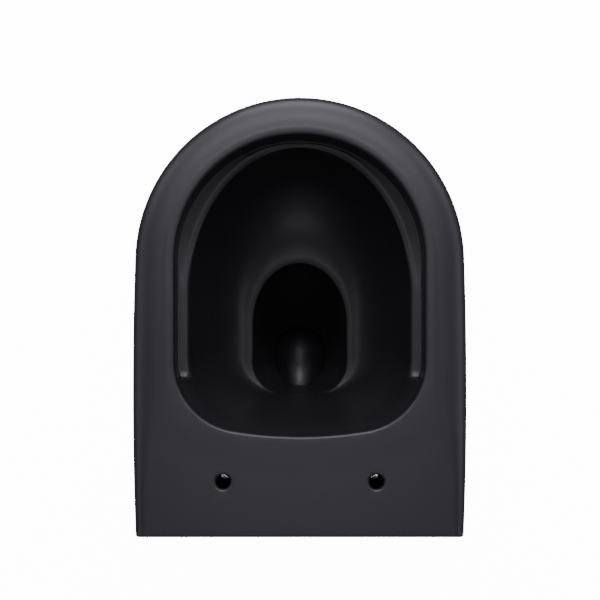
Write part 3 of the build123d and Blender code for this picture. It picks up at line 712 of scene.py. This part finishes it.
def plain_material(name, colours, roughness, metallic, scale):
    """A moulding or a metal: two close colours mixed by noise, with a fine grain."""
    material, nodes, links, shader = new_material(name)
    place = nodes.new("ShaderNodeTexCoord")
    noise = nodes.new("ShaderNodeTexNoise")
    noise.inputs["Scale"].default_value = scale
    noise.inputs["Detail"].default_value = 5
    links.new(place.outputs["Object"], noise.inputs["Vector"])
    colour = nodes.new("ShaderNodeMix")
    colour.data_type = "RGBA"
    colour.inputs["A"].default_value = (*colours[0], 1)
    colour.inputs["B"].default_value = (*colours[1], 1)
    links.new(noise.outputs["Fac"], colour.inputs["Factor"])
    links.new(colour.outputs["Result"], shader.inputs["Base Color"])
    sheen = nodes.new("ShaderNodeMapRange")
    sheen.inputs["To Min"].default_value = roughness - SHEEN_SPREAD
    sheen.inputs["To Max"].default_value = roughness + SHEEN_SPREAD
    links.new(noise.outputs["Fac"], sheen.inputs["Value"])
    links.new(sheen.outputs["Result"], shader.inputs["Roughness"])
    bump = nodes.new("ShaderNodeBump")
    bump.inputs["Strength"].default_value = 0.1
    bump.inputs["Distance"].default_value = 0.0003
    links.new(noise.outputs["Fac"], bump.inputs["Height"])
    links.new(bump.outputs["Normal"], shader.inputs["Normal"])
    shader.inputs["Metallic"].default_value = metallic
    return material


MATERIALS = {
    "glaze": glaze(),
    "moulding": plain_material("grey_moulding", ((0.30, 0.30, 0.29), (0.36, 0.36, 0.35)), 0.5, 0, 160),
    "alloy": plain_material("black_coated_alloy", ((0.03, 0.03, 0.031), (0.042, 0.042, 0.043)), 0.5, 0, 260),
    "steel": plain_material("plated_steel", ((0.62, 0.61, 0.58), (0.72, 0.71, 0.69)), 0.18, 1, 320),
}
SLOT_OF = {entry["node"]: entry["material_slot"] for entry in frame["record"]["subparts"]}
for node_name, node_object in frame["nodes"].items():
    for material_slot in node_object.material_slots:
        material_slot.material = MATERIALS[SLOT_OF[node_name]]

body = make_body()
body.data.materials.append(MATERIALS["glaze"])
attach(body, "pan")
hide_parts("rim_casting", "outer_skirt", "bowl_casting", "flush_shroud")


# ---------------------------------------------------------------- stage: floor, light and camera

FLOOR_GLOW = 14                          # brightness of the floor to the camera alone
FLOOR_REACH = 6.0
FLOOR_DROP = 0.065                       # from the pan's underside down to the floor
LIGHT_COLOUR = (0.985, 0.97, 1.06)       # faintly blue, as in the photograph
PAN_CENTRE = (0, -0.25, 0)
CAMERA_X = -0.0003
CAMERA_Y = -0.2538
CAMERA_HEIGHT = 2.0                      # above the rim
PICTURE_WIDTH = 0.6405                   # what the picture covers at the rim
SENSOR_WIDTH = 36


def floor():
    """White sweep under the pan, lit on its own so that it photographs white without lighting the pan."""
    data = bpy.data.meshes.new("floor")
    corners = [(x * FLOOR_REACH, y * FLOOR_REACH) for x, y in ((-1, -1), (1, -1), (1, 1), (-1, 1))]
    data.from_pydata([(x, y, BOTTOM_Z - FLOOR_DROP) for x, y in corners], [], [(0, 1, 2, 3)])
    piece = bpy.data.objects.new("floor", data)
    bpy.context.scene.collection.objects.link(piece)
    material, nodes, links, shader = new_material("pale_floor")
    place = nodes.new("ShaderNodeTexCoord")
    noise = nodes.new("ShaderNodeTexNoise")
    noise.inputs["Scale"].default_value = 3
    links.new(place.outputs["Object"], noise.inputs["Vector"])
    colour = nodes.new("ShaderNodeMix")
    colour.data_type = "RGBA"
    colour.inputs["A"].default_value = (0.86, 0.86, 0.86, 1)
    colour.inputs["B"].default_value = (0.90, 0.90, 0.90, 1)
    links.new(noise.outputs["Fac"], colour.inputs["Factor"])
    links.new(colour.outputs["Result"], shader.inputs["Base Color"])
    shader.inputs["Roughness"].default_value = 0.9
    shader.inputs["Emission Color"].default_value = (1, 1, 1, 1)
    path = nodes.new("ShaderNodeLightPath")
    glow = nodes.new("ShaderNodeMath")
    glow.operation = "MULTIPLY"
    glow.inputs[1].default_value = FLOOR_GLOW
    links.new(path.outputs["Is Camera Ray"], glow.inputs[0])
    links.new(glow.outputs["Value"], shader.inputs["Emission Strength"])
    data.materials.append(material)


def softbox(name, place, target, size, power):
    """A rectangular area light that faces its target."""
    data = bpy.data.lights.new(name, "AREA")
    data.shape = "RECTANGLE"
    data.size, data.size_y = size
    data.energy = power
    data.color = LIGHT_COLOUR
    lamp = bpy.data.objects.new(name, data)
    lamp.location = place
    lamp.rotation_euler = (Vector(target) - Vector(place)).to_track_quat("-Z", "Y").to_euler()
    bpy.context.scene.collection.objects.link(lamp)


def world(strength):
    """Even light from all around."""
    sky = bpy.data.worlds.new("studio")
    sky.use_nodes = True
    shade = sky.node_tree.nodes["Background"]
    shade.inputs["Color"].default_value = (*LIGHT_COLOUR, 1)
    shade.inputs["Strength"].default_value = strength
    bpy.context.scene.world = sky


def camera():
    """Straight above the middle of the pan, with the round front at the top of the picture."""
    data = bpy.data.cameras.new("camera")
    data.sensor_width = SENSOR_WIDTH
    data.lens = SENSOR_WIDTH * CAMERA_HEIGHT / PICTURE_WIDTH
    eye = bpy.data.objects.new("camera", data)
    eye.location = (CAMERA_X, CAMERA_Y, RIM_TOP + CAMERA_HEIGHT)
    eye.rotation_euler = (0, 0, math.pi)
    bpy.context.scene.collection.objects.link(eye)
    bpy.context.scene.camera = eye


floor()
camera()
world(0.115)
softbox("front_softbox", (0, -2.1, 1.5), PAN_CENTRE, (1.6, 0.9), 32)
softbox("high_front_softbox", (0, -1.2, 2.5), PAN_CENTRE, (1.4, 0.8), 22)
softbox("right_front_softbox", (-1.6, -1.5, 1.8), PAN_CENTRE, (1.0, 1.0), 9)
softbox("left_front_softbox", (1.6, -1.5, 1.8), PAN_CENTRE, (1.0, 1.0), 9)
softbox("right_softbox", (-2.0, -0.2, 1.7), PAN_CENTRE, (1.2, 1.0), 6.5)
softbox("left_softbox", (2.0, -0.2, 1.7), PAN_CENTRE, (1.2, 1.0), 4.5)
softbox("rear_softbox", (0, 1.8, 1.7), PAN_CENTRE, (1.4, 0.9), 5)
softbox("hinge_softbox", (0, 0.2, 2.6), PAN_CENTRE, (0.5, 0.2), 2.0)
